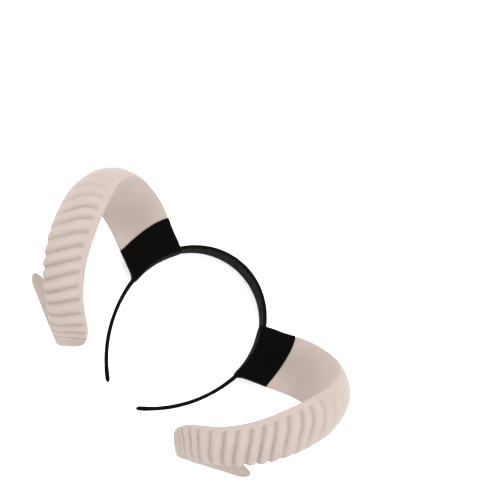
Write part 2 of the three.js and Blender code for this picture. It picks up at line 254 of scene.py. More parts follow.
class NodeBench:
    """Short calls for laying out the nodes of one material."""

    # Sockets of the mix node for the share, the two colours and the mixed colour.
    mix_inputs = (0, 6, 7)
    mix_output = 2

    def __init__(self, name: str) -> None:
        """Starts an empty material with a Principled shader."""
        self.material = bpy.data.materials.new(name)
        self.material.use_nodes = True
        self.tree = self.material.node_tree
        self.shader = self.tree.nodes["Principled BSDF"]
        self.coordinates = self.add("ShaderNodeTexCoord")

    def add(self, kind: str, **settings: object) -> bpy.types.Node:
        """Adds a node.

        Args:
            kind: Blender's name of the node type.
            **settings: Properties to set on the node.

        Returns:
            The new node.
        """
        node = self.tree.nodes.new(kind)
        for key, value in settings.items():
            setattr(node, key, value)
        return node

    def feed(self, node: bpy.types.Node, values: dict[str | int, object]) -> None:
        """Links sockets into a node's inputs, or sets colours, vectors and numbers on them.

        Args:
            node: The node to feed.
            values: What each input takes, by its name or number.
        """
        for key, value in values.items():
            if isinstance(value, Socket):
                self.tree.links.new(value, node.inputs[key])
            elif isinstance(value, tuple):
                node.inputs[key].default_value = (*value, 1.0)
            else:
                node.inputs[key].default_value = value

    def noise(self, scale: float, detail: float, roughness: float = 0.5) -> Socket:
        """Noise over the object's own space.

        Args:
            scale: Bumps in a metre.
            detail: How many finer layers are added.
            roughness: How strong the finer layers are.

        Returns:
            The noise's value socket.
        """
        node = self.add("ShaderNodeTexNoise")
        place = self.coordinates.outputs["Object"]
        self.feed(node, {"Scale": scale, "Detail": detail, "Roughness": roughness, "Vector": place})
        return node.outputs["Fac"]

    def ramp(self, source: Socket, stops: Pairs) -> Socket:
        """Maps a value through grey stops.

        Args:
            source: The value to map.
            stops: Pairs of place and grey level.

        Returns:
            The mapped value's socket.
        """
        node = self.add("ShaderNodeValToRGB")
        line = node.color_ramp
        while len(line.elements) < len(stops):
            line.elements.new(0.5)
        for element, (place, level) in zip(line.elements, stops):
            element.position = place
            element.color = (level, level, level, 1.0)
        self.feed(node, {"Fac": source})
        return node.outputs["Color"]

    def math(self, how: str, first: object, second: object) -> Socket:
        """Arithmetic on two values, each a socket or a number.

        Args:
            how: The operation, in Blender's words.
            first: The first value.
            second: The second value.

        Returns:
            The result's socket.
        """
        node = self.add("ShaderNodeMath", operation=how)
        self.feed(node, {0: first, 1: second})
        return node.outputs["Value"]

    def mix(self, share: object, first: object, second: object) -> Socket:
        """Mixes two colours, each a socket or a triple.

        Args:
            share: How much of the second colour shows.
            first: The first colour.
            second: The second colour.

        Returns:
            The mixed colour's socket.
        """
        node = self.add("ShaderNodeMix", data_type="RGBA")
        self.feed(node, dict(zip(self.mix_inputs, (share, first, second))))
        return node.outputs[self.mix_output]

    def attribute(self, name: str) -> Socket:
        """Value that the mesh stores at each point."""
        return self.add("ShaderNodeAttribute", attribute_name=name).outputs["Fac"]

    def bump(self, height: Socket, depth: float, under: Socket | None = None) -> Socket:
        """Relief from a height between 0 and 1.

        Args:
            height: The height's socket.
            depth: Depth of the relief in metres.
            under: Normal of a coarser relief below this one.

        Returns:
            The normal's socket.
        """
        node = self.add("ShaderNodeBump")
        self.feed(node, {"Distance": depth, "Strength": 1.0, "Height": height})
        if under is not None:
            self.feed(node, {"Normal": under})
        return node.outputs["Normal"]

    def dress(self, colour: object, normal: Socket, roughness: object, specular: float) -> None:
        """Feeds the shader's main inputs.

        Args:
            colour: The surface's colour, a socket or a triple.
            normal: The relief's normal.
            roughness: The roughness, a socket or a number.
            specular: Strength of the mirror-like part.
        """
        self.feed(self.shader, {"Base Color": colour, "Normal": normal})
        self.feed(self.shader, {"Roughness": roughness, "Specular IOR Level": specular})

    def dust(self, sheen: float, roughness: float) -> None:
        """Adds the soft shine of short fibres."""
        self.feed(self.shader, {"Sheen Weight": sheen, "Sheen Roughness": roughness})


@dataclass(frozen=True)
class FlockedFoam:
    """Off-white moulded foam under a thin skin of short soft fibres."""

    crest: Triple = (0.243, 0.203, 0.184)
    # Darker colour mixed in as painted shade in the creases and over the inner face, and as fibre specks.
    shade_and_speck: Triple = (0.162, 0.122, 0.102)
    tint: Triple = (0.228, 0.195, 0.181)
    roughness: float = 0.92
    specular: float = 0.2
    sheen: float = 0.08
    sheen_roughness: float = 0.5
    cloud_scale: float = 55.0
    cloud_share: float = 0.6
    fibre_scale: float = 1400.0
    fibre_share: float = 0.10
    # Strengths of the painted shade in the creases and over the middle of the inner face.
    crease_shade_share: float = 0.75
    inner_shade_share: float = 0.45
    dimple_scale: float = 160.0
    dimple_depth: float = 0.0004
    pile_scale: float = 1100.0
    pile_depth: float = 0.00016

    def material(self) -> bpy.types.Material:
        """Builds the foam's material.

        Returns:
            The material, which paints shade into the creases and over the inner face from a value stored on
            the mesh.
        """
        bench = NodeBench("horn_flocked_foam")
        cloud = bench.ramp(bench.noise(self.cloud_scale, 3.0), ((0.35, 0.0), (0.70, 1.0)))
        body = bench.mix(bench.math("MULTIPLY", cloud, self.cloud_share), self.crest, self.tint)
        fibre = bench.ramp(bench.noise(self.fibre_scale, 2.0), ((0.30, 0.0), (0.75, 1.0)))
        # Painted shade: darker in the creases, and over the middle of the inner face where the stored value
        # is below 0.
        crease = bench.attribute("crease")
        shade = bench.math("MULTIPLY", bench.math("MAXIMUM", crease, 0.0), self.crease_shade_share)
        colour = bench.mix(shade, body, self.shade_and_speck)
        inner = bench.math("MULTIPLY", bench.math("MINIMUM", crease, 0.0), -self.inner_shade_share)
        colour = bench.mix(inner, colour, self.shade_and_speck)
        speck = bench.math("MULTIPLY", fibre, self.fibre_share)
        colour = bench.mix(speck, colour, self.shade_and_speck)
        dimple = bench.bump(bench.noise(self.dimple_scale, 3.0), self.dimple_depth)
        pile = bench.bump(bench.noise(self.pile_scale, 3.0, 0.6), self.pile_depth, dimple)
        bench.dress(colour, pile, self.roughness, self.specular)
        bench.dust(self.sheen, self.sheen_roughness)
        return bench.material


@dataclass(frozen=True)
class StretchKnit:
    """Matte black stretch fabric with a fine knit."""

    thread: Triple = (0.0019, 0.0017, 0.0014)
    gap: Triple = (0.0007, 0.0006, 0.0005)
    wave_scale: float = 1250.0 / 6.0
    wave_turn: float = 0.35
    wave_lean: float = 0.6
    wave_distortion: float = 0.6
    fuzz_scale: float = 2200.0
    fuzz_share: float = 0.4
    drape_scale: float = 90.0
    drape_depth: float = 0.0003
    knit_depth: float = 0.00012
    roughness: float = 0.95
    specular: float = 0.02
    sheen: float = 0.007
    sheen_roughness: float = 0.6

    def material(self) -> bpy.types.Material:
        """Builds the fabric's material.

        Returns:
            The material, with its knit in the piece's own space.
        """
        bench = NodeBench("sleeve_stretch_knit")
        waves = []
        for turn in (self.wave_turn, -self.wave_turn):
            place = bench.add("ShaderNodeMapping")
            turned = Vector((0.0, self.wave_lean, turn))
            bench.feed(place, {"Rotation": turned, "Vector": bench.coordinates.outputs["Object"]})
            wave = bench.add("ShaderNodeTexWave", wave_type="BANDS", bands_direction="X")
            bench.feed(wave, {"Scale": self.wave_scale, "Distortion": self.wave_distortion})
            bench.feed(wave, {"Detail": 1.0, "Vector": place.outputs["Vector"]})
            waves.append(wave.outputs["Fac"])
        knit = bench.math("MULTIPLY", waves[0], waves[1])
        fuzz = bench.noise(self.fuzz_scale, 2.0)
        height = bench.math("ADD", knit, bench.math("MULTIPLY", fuzz, self.fuzz_share))
        colour = bench.mix(knit, self.gap, self.thread)
        drape = bench.bump(bench.noise(self.drape_scale, 2.0), self.drape_depth)
        relief = bench.bump(height, self.knit_depth, drape)
        bench.dress(colour, relief, self.roughness, self.specular)
        bench.dust(self.sheen, self.sheen_roughness)
        return bench.material


@dataclass(frozen=True)
class SatinPlastic:
    """Satin black moulded plastic with faint lengthwise flow marks and a painted brownish sheen on its
    inner face.
    """

    colour: Triple = (0.0018, 0.0015, 0.0012)
    # Brownish streak colour: partly flow marks, partly painted sheen, on the inner face only.
    streak_and_sheen: Triple = (0.0062, 0.0044, 0.0029)
    marks_across: float = 14.0
    marks_along: float = 5.0
    fine_scale: float = 700.0
    fine_depth: float = 0.00005
    roughness: Pair = (0.50, 0.64)
    specular: float = 0.008

    def material(self) -> bpy.types.Material:
        """Builds the plastic's material.

        Returns:
            The material, which reads the mesh's "across" value for its streaks of flow marks and painted
            sheen.
        """
        bench = NodeBench("hoop_satin_plastic")
        across = bench.math("MULTIPLY", bench.attribute("across"), self.marks_across)
        along = bench.math("MULTIPLY", bench.attribute("along"), self.marks_along)
        place = bench.add("ShaderNodeCombineXYZ")
        bench.feed(place, {"X": across, "Y": along})
        streaks = bench.add("ShaderNodeTexNoise")
        bench.feed(streaks, {"Scale": 2.0, "Detail": 4.0, "Vector": place.outputs["Vector"]})
        marks = bench.ramp(streaks.outputs["Fac"], ((0.35, 0.0), (0.70, 1.0)))
        inner = bench.attribute("inner")
        # Painted sheen and flow marks: brownish streaks on the inner face only.
        colour = bench.mix(bench.math("MULTIPLY", marks, inner), self.colour, self.streak_and_sheen)
        fine = bench.bump(bench.noise(self.fine_scale, 3.0), self.fine_depth)
        low, high = self.roughness
        rough = bench.ramp(bench.noise(240.0, 2.0), ((0.3, low), (0.7, high)))
        bench.dress(colour, fine, rough, self.specular)
        return bench.material


@dataclass(frozen=True)
class PaleCard:
    """Plain near-white surface that the headband lies on."""

    colour: Triple = (0.97, 0.97, 0.97)
    roughness: float = 0.95
    specular: float = 0.1
    grain_depth: float = 0.00003

    def material(self) -> bpy.types.Material:
        """Builds the surface's material.

        Returns:
            The material, with a fine even grain.
        """
        bench = NodeBench("floor_pale_card")
        grain = bench.bump(bench.noise(300.0, 2.0), self.grain_depth)
        bench.dress(self.colour, grain, self.roughness, self.specular)
        return bench.material


@dataclass
class Studio:
    """Camera, soft lights and the pale surface under the headband."""

    camera_place: Triple = (0.000207, -0.159090, 1.028108)
    image_right: Triple = (0.731805, 0.661981, 0.161998)
    image_down: Triple = (0.681499, -0.709231, -0.180417)
    focal_pixels: float = 1222.28
    image_pixels: float = 500.0
    sensor_width: float = 36.0
    view_distance: float = 50.0
    light_aim: Triple = (0.0, 0.0, 0.04)
    sky_strength: float = 1.50
    floor_size: float = 8.0
    card: PaleCard = PaleCard()

    # Rows are name, place, length of a side and power.
    lights: tuple[tuple[str, Triple, float, float], ...] = (
        ("light_top", (-0.10, 0.75, 1.6), 1.5, 40.0),
        ("light_side", (1.3, -0.5, 1.1), 1.2, 20.0),
        ("light_low", (-1.2, -0.8, 0.9), 1.2, 16.0),
    )

    def set_camera(self) -> None:
        """Places the camera above the headband, turned as the picture is."""
        right = Vector(self.image_right).normalized()
        down = Vector(self.image_down)
        down = (down - right * down.dot(right)).normalized()
        forward = right.cross(down)
        turned = Matrix((right, -down, -forward)).transposed().to_4x4()
        data = bpy.data.cameras.new("camera")
        data.sensor_width = self.sensor_width
        data.lens = self.focal_pixels * self.sensor_width / self.image_pixels
        data.clip_end = self.view_distance
        camera = bpy.data.objects.new("camera", data)
        camera.matrix_world = Matrix.Translation(self.camera_place) @ turned
        bpy.context.scene.collection.objects.link(camera)
        bpy.context.scene.camera = camera

    def area_light(self, name: str, place: Triple, size: float, power: float) -> None:
        """Adds a square soft light that faces the headband.

        Args:
            name: Name of the light.
            place: Where it stands, in metres.
            size: Length of its side in metres.
            power: Its power in watts.
        """
        data = bpy.data.lights.new(name, "AREA")
        data.shape = "SQUARE"
        data.size = size
        data.energy = power
        lamp = bpy.data.objects.new(name, data)
        lamp.location = place
        aim = Vector(self.light_aim) - Vector(place)
        lamp.rotation_euler = aim.to_track_quat("-Z", "Y").to_euler()
        bpy.context.scene.collection.objects.link(lamp)

    def build(self) -> None:
        """Makes the camera, the lights, the sky and the floor."""
        self.set_camera()
        for light in self.lights:
            self.area_light(*light)
        world = bpy.data.worlds.new("soft_sky")
        world.use_nodes = True
        sky = world.node_tree.nodes["Background"]
        sky.inputs["Color"].default_value = (1.0, 1.0, 1.0, 1.0)
        sky.inputs["Strength"].default_value = self.sky_strength
        bpy.context.scene.world = world
        bpy.context.scene.view_settings.view_transform = "Standard"
        half = self.floor_size / 2.0
        mesh = bpy.data.meshes.new("floor")
        corners = [(-half, -half, 0.0), (half, -half, 0.0), (half, half, 0.0), (-half, half, 0.0)]
        mesh.from_pydata(corners, [], [(0, 1, 2, 3)])
        floor = bpy.data.objects.new("floor", mesh)
        floor.data.materials.append(self.card.material())
        bpy.context.scene.collection.objects.link(floor)
        log.info("studio: camera, lights and floor")


@dataclass(frozen=True)
class HoopLine:
    """Inner line of the hoop in plan, half an ellipse over the crown and an arc down each arm."""

    inner_width: float = 116.0
    crown_rise: float = 60.0
    arm_drop: float = 84.6
    arm_lean: float = 1.2
    tip_gap: float = 29.6
    thickness: float = 2.8

    @property
    def arm_run(self) -> float:
        """How far each arm comes in from the widest level to its tip."""
        return self.inner_width / 2.0 - self.tip_gap / 2.0

    @property
    def arm_turn(self) -> float:
        """Angle that each arm's arc turns through."""
        return 2.0 * (math.atan2(self.arm_run, self.arm_drop) - math.radians(self.arm_lean))

    @property
    def arm_radius(self) -> float:
        """Radius of the arms' arcs."""
        return math.hypot(self.arm_run, self.arm_drop) / (2.0 * math.sin(self.arm_turn / 2.0))

    def at(self, share: Array) -> tuple[Array, Array]:
        """Points and outward directions along the right half.

        Args:
            share: 0 at the crown and 1 at the tip.

        Returns:
            Points and unit outward directions, each with two columns.
        """
        half = self.inner_width / 2.0
        turn = np.asarray(share, float) * (math.pi / 2.0 + self.arm_turn)
        lean = math.radians(self.arm_lean)
        arm = np.maximum(turn - math.pi / 2.0, 0.0) + lean
        over = np.minimum(turn, math.pi / 2.0)
        crown_point = np.stack([half * np.sin(over), self.crown_rise * np.cos(over)], -1)
        crown_out = np.stack([np.sin(over) / half, np.cos(over) / self.crown_rise], -1)
        crown_out /= np.linalg.norm(crown_out, axis=-1, keepdims=True)
        arm_out = np.stack([np.cos(arm), -np.sin(arm)], -1)
        hub = np.array([half - self.arm_radius * math.cos(lean), self.arm_radius * math.sin(lean)])
        arm_point = arm_out * self.arm_radius + hub
        low = (turn > math.pi / 2.0)[..., None]
        return np.where(low, arm_point, crown_point), np.where(low, arm_out, crown_out)


# Shares of the way round the domed face, from the medial edge to the lateral edge.
DOME = np.linspace(0.0, 1.0, 140)

# Shares of the way back over the inner face, from the lateral edge to the medial edge.
INNER = np.linspace(0.0, 1.0, 62)[1:-1]


@dataclass(frozen=True)
class SectionForm:
    """How a section departs from the bare horn's: widened, moved, squared and drawn in."""

    spread: float = 1.0
    shift: float = 0.0
    box: float = 0.0
    inset: float = 0.0


class HornColumn(IntEnum):
    """Columns of the horn's rows, as the solid horn is laid out."""

    TURN = 0
    REACH = 1
    DROP = 2
    WIDTH = 3
    DEPTH = 4
    ROLL = 5
    SLANT = 6
    EDGE = 7


# Columns are those of HornColumn.
HORN_ROWS = np.array(
    [
        (-36, 1.00, 0.0, 1.00, 0.96, 0, 8, 1.00),
        (0, 1.00, 0.0, 1.00, 1.00, 0, 9, 1.00),
        (30, 0.99, 0.0, 0.98, 0.97, 2, 9, 1.00),
        (60, 0.96, 0.056, 0.94, 0.92, 6, 13, 1.00),
        (75, 0.955, 0.112, 0.94, 0.90, 11, 16, 1.00),
        (90, 0.94, 0.192, 0.93, 0.88, 14, 18, 0.90),
        (120, 0.935, 0.357, 0.89, 0.88, 15, 22, 0.73),
        (150, 0.885, 0.582, 0.83, 0.77, 20, 23, 0.73),
        (180, 0.87, 0.778, 0.70, 0.62, 26, 23, 0.73),
        (210, 0.89, 0.886, 0.60, 0.50, 32, 22, 0.73),
        (240, 0.95, 0.938, 0.61, 0.37, 36, 20, 0.73),
        (270, 1.00, 0.968, 0.53, 0.22, 38, 14, 0.73),
        (300, 1.10, 0.967, 0.44, 0.24, 27, 7, 0.80),
        (330, 1.24, 0.960, 0.36, 0.24, 14, 2, 0.90),
        (360, 1.38, 0.940, 0.30, 0.23, 6, 0, 1.00),
        (374, 1.42, 0.950, 0.20, 0.16, 4, 0, 1.00),
        (379, 1.43, 0.950, 0.08, 0.08, 4, 0, 1.00),
    ]
)


@dataclass
class HornPath:
    """Line and section of a horn: a straight root and one turn of curl that drops as it turns."""

    hoop: HoopLine = HoopLine()
    root_tilt: float = 20.0
    root_offset: float = 4.2
    root_length: float = 15.0
    curl_radius: float = 46.0
    curl_drop: float = 100.0
    width: float = 49.5
    depth: float = 24.0
    inner_bulge: float = 2.5
    medial_rise: float = 1.3
    lateral_rise: float = 0.55
    rise_blend: float = 0.55
    box_rise: float = 0.25
    hoop_lift: float = 0.5
    side_wall_ratio: float = 1.3
    rim_rise: float = 3.4
    rim_lean: float = 0.25

    def __post_init__(self) -> None:
        """Works out the axes and the place where the root meets the hoop."""
        tilt = math.radians(self.root_tilt)
        self.out = np.array([math.cos(tilt), math.sin(tilt), 0.0])
        self.down = np.array([math.sin(tilt), -math.cos(tilt), 0.0])
        self.up = np.array([0.0, 0.0, 1.0])
        shares = np.linspace(0.0, 1.0, 20001)
        points, _ = self.hoop.at(shares)
        along = np.maximum.accumulate(points @ self.down[:2])
        keep = np.concatenate([[True], np.diff(along) > 0.0])
        self.hoop_down = along[keep]
        self.hoop_out = (points @ self.out[:2])[keep]
        self.root_share = float(np.interp(self.root_offset, self.hoop_down, shares[keep]))
        self.centre_out = float(self.out_at(np.array([self.root_offset]))[0]) + self.root_length
        self.centre_up = self.curl_radius + self.depth
        self.thickness = self.depth + self.inner_bulge
        self.hoop_height = self.thickness / 2.0 + self.hoop_lift

    def out_at(self, down: Array) -> Array:
        """How far out the hoop's inner line lies at places down its side."""
        return np.interp(down, self.hoop_down, self.hoop_out)

    def rim_arch(self, across: Array) -> Array:
        """How far the sleeve's rim arches over the horn at places across the root."""
        side = np.clip(across / (self.width / 2.0), -1.0, 1.0)
        return self.rim_rise * (1.0 - side * side) * (1.0 - self.rim_lean * side)

    def column(self, which: HornColumn, turn: Array) -> Array:
        """Value of one column of the horn's rows at each turn."""
        return smooth_column(HORN_ROWS, which, turn)

    def turn_along_root(self, length: float) -> float:
        """Turn that stands for a length along the root from the hoop's inner line."""
        return math.degrees((length - self.root_length) / self.curl_radius)

    def frames(self, turn: Array) -> tuple[Array, Array, Array]:
        """Middle of the section and its two axes at each turn.

        Args:
            turn: Turns round the curl in degrees.

        Returns:
            Centres, width axes and depth axes, each with three columns.
        """
        angle = np.radians(np.maximum(turn, 0.0))[:, None]
        straight = np.radians(np.minimum(turn, 0.0))[:, None] * self.curl_radius
        radial = self.out * np.sin(angle) - self.up * np.cos(angle)
        travel = self.out * np.cos(angle) + self.up * np.sin(angle)
        centre = self.out * (self.centre_out + straight) + self.up * self.centre_up
        drop = self.curl_drop * self.column(HornColumn.DROP, turn)
        reach = self.curl_radius * self.column(HornColumn.REACH, turn)
        centre = centre + self.down * (self.root_offset + drop[:, None]) + radial * reach[:, None]
        slant = np.radians(self.column(HornColumn.SLANT, turn))[:, None]
        roll = np.radians(self.column(HornColumn.ROLL, turn))[:, None]
        across = self.down * np.cos(slant) - travel * np.sin(slant)
        wide = across * np.cos(roll) - radial * np.sin(roll)
        deep = radial * np.cos(roll) + across * np.sin(roll)
        return centre, wide, deep

    def sizes(self, turn: float) -> Triple:
        """Sizes of the section at a turn.

        Args:
            turn: Turn round the curl in degrees.

        Returns:
            Half width, depth and inner bulge in millimetres.
        """
        here = np.array([float(turn)])
        wide = float(self.column(HornColumn.WIDTH, here)[0])
        deep = float(self.column(HornColumn.DEPTH, here)[0])
        return self.width * wide / 2.0, self.depth * deep, self.inner_bulge * deep

    def outline(self, turn: float, sunk: Array, form: SectionForm) -> Array:
        """Section of the horn as points across and out from the edge line.

        Args:
            turn: Turn round the curl in degrees.
            sunk: How far the domed face is sunk at each of DOME's shares of the way round it.
            form: How the section is widened, moved and squared.

        Returns:
            Points with two columns in millimetres, medial edge first, over the dome and back.
        """
        half, deep, bulge = self.sizes(turn)
        half *= form.spread
        angle = np.pi * DOME
        medial = self.medial_rise * float(self.column(HornColumn.EDGE, np.array([float(turn)]))[0])
        lean = lerp(medial, self.lateral_rise, smoothstep(DOME, 0.0, self.rise_blend))
        lean = lerp(lean, self.box_rise, form.box)
        across = -np.cos(angle) * (half - sunk * np.abs(np.cos(angle)))
        rise = np.power(np.maximum(np.sin(angle), 0.0), lean) * (deep - sunk)
        back = 1.0 - 2.0 * INNER
        inner = np.stack([half * back, -bulge * (1.0 - back**2)], -1)
        ring = np.vstack([np.stack([across, rise], -1), inner])
        middle = (deep - bulge) / 2.0
        side = 1.0 - self.side_wall_ratio * form.inset / half
        face = 1.0 - 2.0 * form.inset / (deep + bulge)
        placed = ring[:, 0] * side + form.shift * self.width
        return np.stack([placed, middle + (ring[:, 1] - middle) * face], -1)


@dataclass(frozen=True)
class RibPlan:
    """Where the creases between the ribs lie, and how deep they are."""

    creases: Row = (
        91.0, 100.0, 109.0, 118.0, 127.2, 135.0, 144.4, 153.0, 160.6, 168.0, 176.4, 184.0, 193.0, 201.3,
        207.8, 215.5, 222.6, 229.4, 236.1, 243.0, 249.5, 256.0, 262.5, 269.0, 275.5, 282.0,
    )
    depth: float = 2.7
    sharpness: float = 0.62

    # Runs are path lengths, each followed by the values there.
    margin_runs: Row = (100.0, 128.0, 146.0, 165.0, 200.0)
    margins: Row = (0.07, 0.09, 0.115, 0.135, 0.13)
    margin_edge: float = 0.04
    lag_runs: Row = (115.0, 150.0, 165.0, 205.0, 230.0)
    lags: Row = (0.0, 0.6, 2.2, 2.6, 1.2)
    lateral_runs: Row = (200.0, 228.0)
    laterals: Row = (0.93, 0.84)
    lateral_edge: float = 0.07
    fade_runs: Row = (120.0, 130.0, 146.0, 160.0, 190.0, 203.0, 225.0)
    fades: Row = (0.7, 0.6, 0.3, 0.0, 0.0, 0.2, 0.3)
    fade_span: Pair = (0.38, 0.66)
    strength_runs: Row = (86.0, 101.0, 110.0, 119.0, 128.0, 136.0, 146.0, 186.0, 203.0, 230.0, 262.0, 284.0)
    strengths: Row = (0.0, 0.18, 0.38, 0.65, 0.95, 0.95, 1.0, 1.0, 0.85, 0.75, 0.4, 0.0)

    # Rows are path lengths, columns are shares of the way round the dome.
    bend_runs: Row = (110.0, 128.0, 141.0, 158.0, 175.0, 199.0, 210.0, 220.0)
    bend_shares: Row = (0.15, 0.24, 0.40, 0.50, 0.60, 0.70, 1.00)
    bends: tuple[Row, ...] = (
        (-1.0, -0.5, 0.0, -0.4, -1.4, -3.0, -6.0),
        (-1.6, -1.2, 0.0, 0.3, -0.3, -2.0, -4.0),
        (-1.4, -1.0, 0.0, 0.4, 0.0, -1.0, -2.0),
        (-1.6, -1.1, 0.0, 0.6, 0.8, 0.8, 0.8),
        (-1.2, -0.7, 0.0, 0.9, 1.8, 2.5, 3.5),
        (0.0, 0.0, 0.0, 1.1, 2.4, 2.8, 4.0),
        (1.3, 1.0, 0.0, 1.3, 2.8, 4.0, 6.0),
        (2.5, 2.0, 0.0, 1.5, 3.6, 5.5, 8.0),
    )

    def valley(self, run: float, side: Side) -> Array:
        """How far into a crease each share of the dome lies on one section.

        Args:
            run: Path length from the start of the curl in millimetres.
            side: Which horn it is, as the left one's creases lie a little further on.

        Returns:
            Values from 0 on a crest to 1 in a full crease, one for each of DOME's shares.
        """
        row = [np.interp(run, self.bend_runs, column) for column in zip(*self.bends)]
        place = run - np.interp(DOME, self.bend_shares, row)
        lines = np.array(self.creases)
        if side is Side.LEFT:
            lines = lines + np.interp(lines, self.lag_runs, self.lags)
        order = np.interp(place, lines, np.arange(len(lines)), left=-0.5)
        crest = np.abs(np.sin(np.pi * order)) ** self.sharpness
        strength = np.interp(place, self.strength_runs, self.strengths)
        fade = np.interp(run, self.fade_runs, self.fades)
        strength = strength * (1.0 - fade * smoothstep(DOME, *self.fade_span))
        margin = float(np.interp(run, self.margin_runs, self.margins))
        lateral = float(np.interp(run, self.lateral_runs, self.laterals))
        edge = smoothstep(DOME, margin, margin + self.margin_edge)
        edge = edge * (1.0 - smoothstep(DOME, lateral, lateral + self.lateral_edge))
        return (1.0 - crest) * edge * strength


@dataclass
class RamHorn:
    """One soft curled horn, ribbed on its domed face and smooth inside."""

    path: HornPath
    shift: Array
    side: Side
    finish: FlockedFoam = FlockedFoam()
    ribs: RibPlan = RibPlan()
    sleeve_length: float = 23.0
    rim_gap: float = 0.3
    rim_bulge: float = 1.3
    root_inset: float = 1.9
    rim_inset: float = 1.15
    inset_span: Pair = (-5.0, -0.5)
    root_start: float = 6.5
    root_rings: int = 20
    tuck: float = 3.0
    soft_reach: float = 1.1
    # Painted shade over the middle of the inner face: the turns where it fades, and by how much.
    inner_shade_turns: Pair = (25.0, 70.0)
    inner_shade_fade: float = 0.9
    roll_span: Pair = (0.03, 0.11)
    roll_reach: float = 3.2
    roll_turns: Row = (60.0, 95.0, 130.0, 180.0)
    roll_shares: Row = (0.0, 1.0, 1.0, 0.15)
    tip_shrinks: Row = (0.86, 0.55)
    bumps: Pairs = ((0.16, 9.0), (0.08, 3.5))
    seeds: tuple[int, int] = (7, 19)
    ring_points: int = 144
    step: float = 0.62
    samples: int = 6000

    def stations(self) -> tuple[Array, Array]:
        """Turns of the horn's sections and the path length at each, from the curl's start.

        Returns:
            Turns in degrees and path lengths in millimetres.
        """
        start = self.path.turn_along_root(self.sleeve_length - self.tuck)
        fine = np.linspace(start, HORN_ROWS[-1, HornColumn.TURN], self.samples)
        centre, _, _ = self.path.frames(fine)
        run = np.concatenate([[0.0], np.cumsum(np.linalg.norm(np.diff(centre, axis=0), axis=1))])
        run += math.radians(start) * self.path.curl_radius
        even = np.linspace(run[0], run[-1], int((run[-1] - run[0]) / self.step))
        return np.interp(even, run, fine), even

    def section(self, turn: float, run: float) -> tuple[Array, Array]:
        """Outline of one section and each point's painted-shade value.

        Args:
            turn: Turn round the curl in degrees.
            run: Path length from the curl's start in millimetres.

        Returns:
            The rounded outline, and for each point a painted-shade value: up to 1 in a full crease, down to
            -1 for painted shade over the middle of the inner face.
        """
        valley = self.ribs.valley(run, self.side)
        _, deep, _ = self.path.sizes(turn)
        reach = min(self.soft_reach, 0.1 * deep + 0.15)
        ring = self.path.outline(turn, self.ribs.depth * valley, SectionForm())
        soft = soften_ring(ring, reach, self.ring_points)
        rolled = soften_ring(ring, self.roll_reach, self.ring_points)
        steps = np.arange(self.ring_points)
        aside = np.minimum(steps, self.ring_points - steps) / self.ring_points
        share = np.interp(turn, self.roll_turns, self.roll_shares)
        share = share * (1.0 - smoothstep(aside, *self.roll_span))
        soft = lerp(soft, rolled, share[:, None])
        # Painted shade over the middle of the inner face, fading further round the curl.
        across = np.linspace(-1.0, 1.0, len(INNER))
        inner_shade = (1.0 - across * across) ** 1.5 * (1.0 - self.inner_shade_fade * smoothstep(turn, *self.inner_shade_turns))
        values = np.concatenate([valley, -inner_shade])
        nearest = np.argmin(((soft[:, None, :] - ring[None, :, :]) ** 2).sum(-1), axis=1)
        beyond = run + self.path.root_length - self.sleeve_length - self.path.rim_arch(soft[:, 0])
        if beyond.min() < self.rim_gap + self.rim_bulge:
            near = smoothstep(beyond, *self.inset_span)
            inset = lerp(self.root_inset, self.rim_inset, near)
            free = np.clip((beyond - self.rim_gap) / self.rim_bulge, 0.0, 1.0)
            inset = inset * (1.0 - np.sin(free * math.pi / 2.0))
            form = SectionForm(inset=self.root_inset)
            drawn = soften_ring(self.path.outline(turn, 0.0 * DOME, form), reach, self.ring_points)
            soft = lerp(soft, drawn, (inset / self.root_inset)[:, None])
        return soft, values[nearest]

    def build(self) -> Piece:
        """Makes the horn's mesh, from inside the sleeve to the flared tip.

        Returns:
            The horn, dressed in its finish and standing for its solid.
        """
        turns, runs = self.stations()
        start = self.path.turn_along_root(self.root_start)
        inside = np.linspace(start, turns[0], self.root_rings, endpoint=False)
        all_turns = np.concatenate([inside, turns])
        all_runs = np.concatenate([np.radians(inside) * self.path.curl_radius, runs])
        centre, wide, deep = self.path.frames(all_turns)
        rings, creases = [], []
        for i, (turn, run) in enumerate(zip(all_turns, all_runs)):
            soft, crease = self.section(float(turn), float(run))
            rings.append(centre[i] + soft[:, :1] * wide[i] + soft[:, 1:] * deep[i])
            creases.append(crease)
        for shrink in self.tip_shrinks:
            middle = rings[-1].mean(0)
            rings.append(middle + (rings[-1] - middle) * shrink)
            creases.append(creases[-1])
        left = self.side is Side.LEFT
        solid = ValueNoise(self.seeds[left]).roughen(np.array(rings) + self.shift, self.bumps)
        piece = closed_mesh(f"horn_{self.side.word}_foam", solid, left, self.finish.material())
        # Stores the painted-shade values that the foam's material reads.
        paint(piece, "crease", np.concatenate(creases))
        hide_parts(f"horn_{self.side.word}")
        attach(piece, "root")
        return piece


# Columns are place from the hoop's inner line to the rim, spread, shift and box.
SLEEVE_ROWS = np.array(
    [
        (-0.20, 0.99, 0.035, 1.0),
        (0.11, 0.99, 0.035, 1.0),
        (0.17, 0.98, 0.03, 1.0),
        (0.24, 0.97, 0.02, 0.9),
        (0.34, 0.97, 0.015, 0.7),
        (0.65, 0.98, 0.01, 0.2),
        (1.00, 1.00, 0.00, 0.0),
        (1.10, 1.00, 0.00, 0.0),
    ]
)


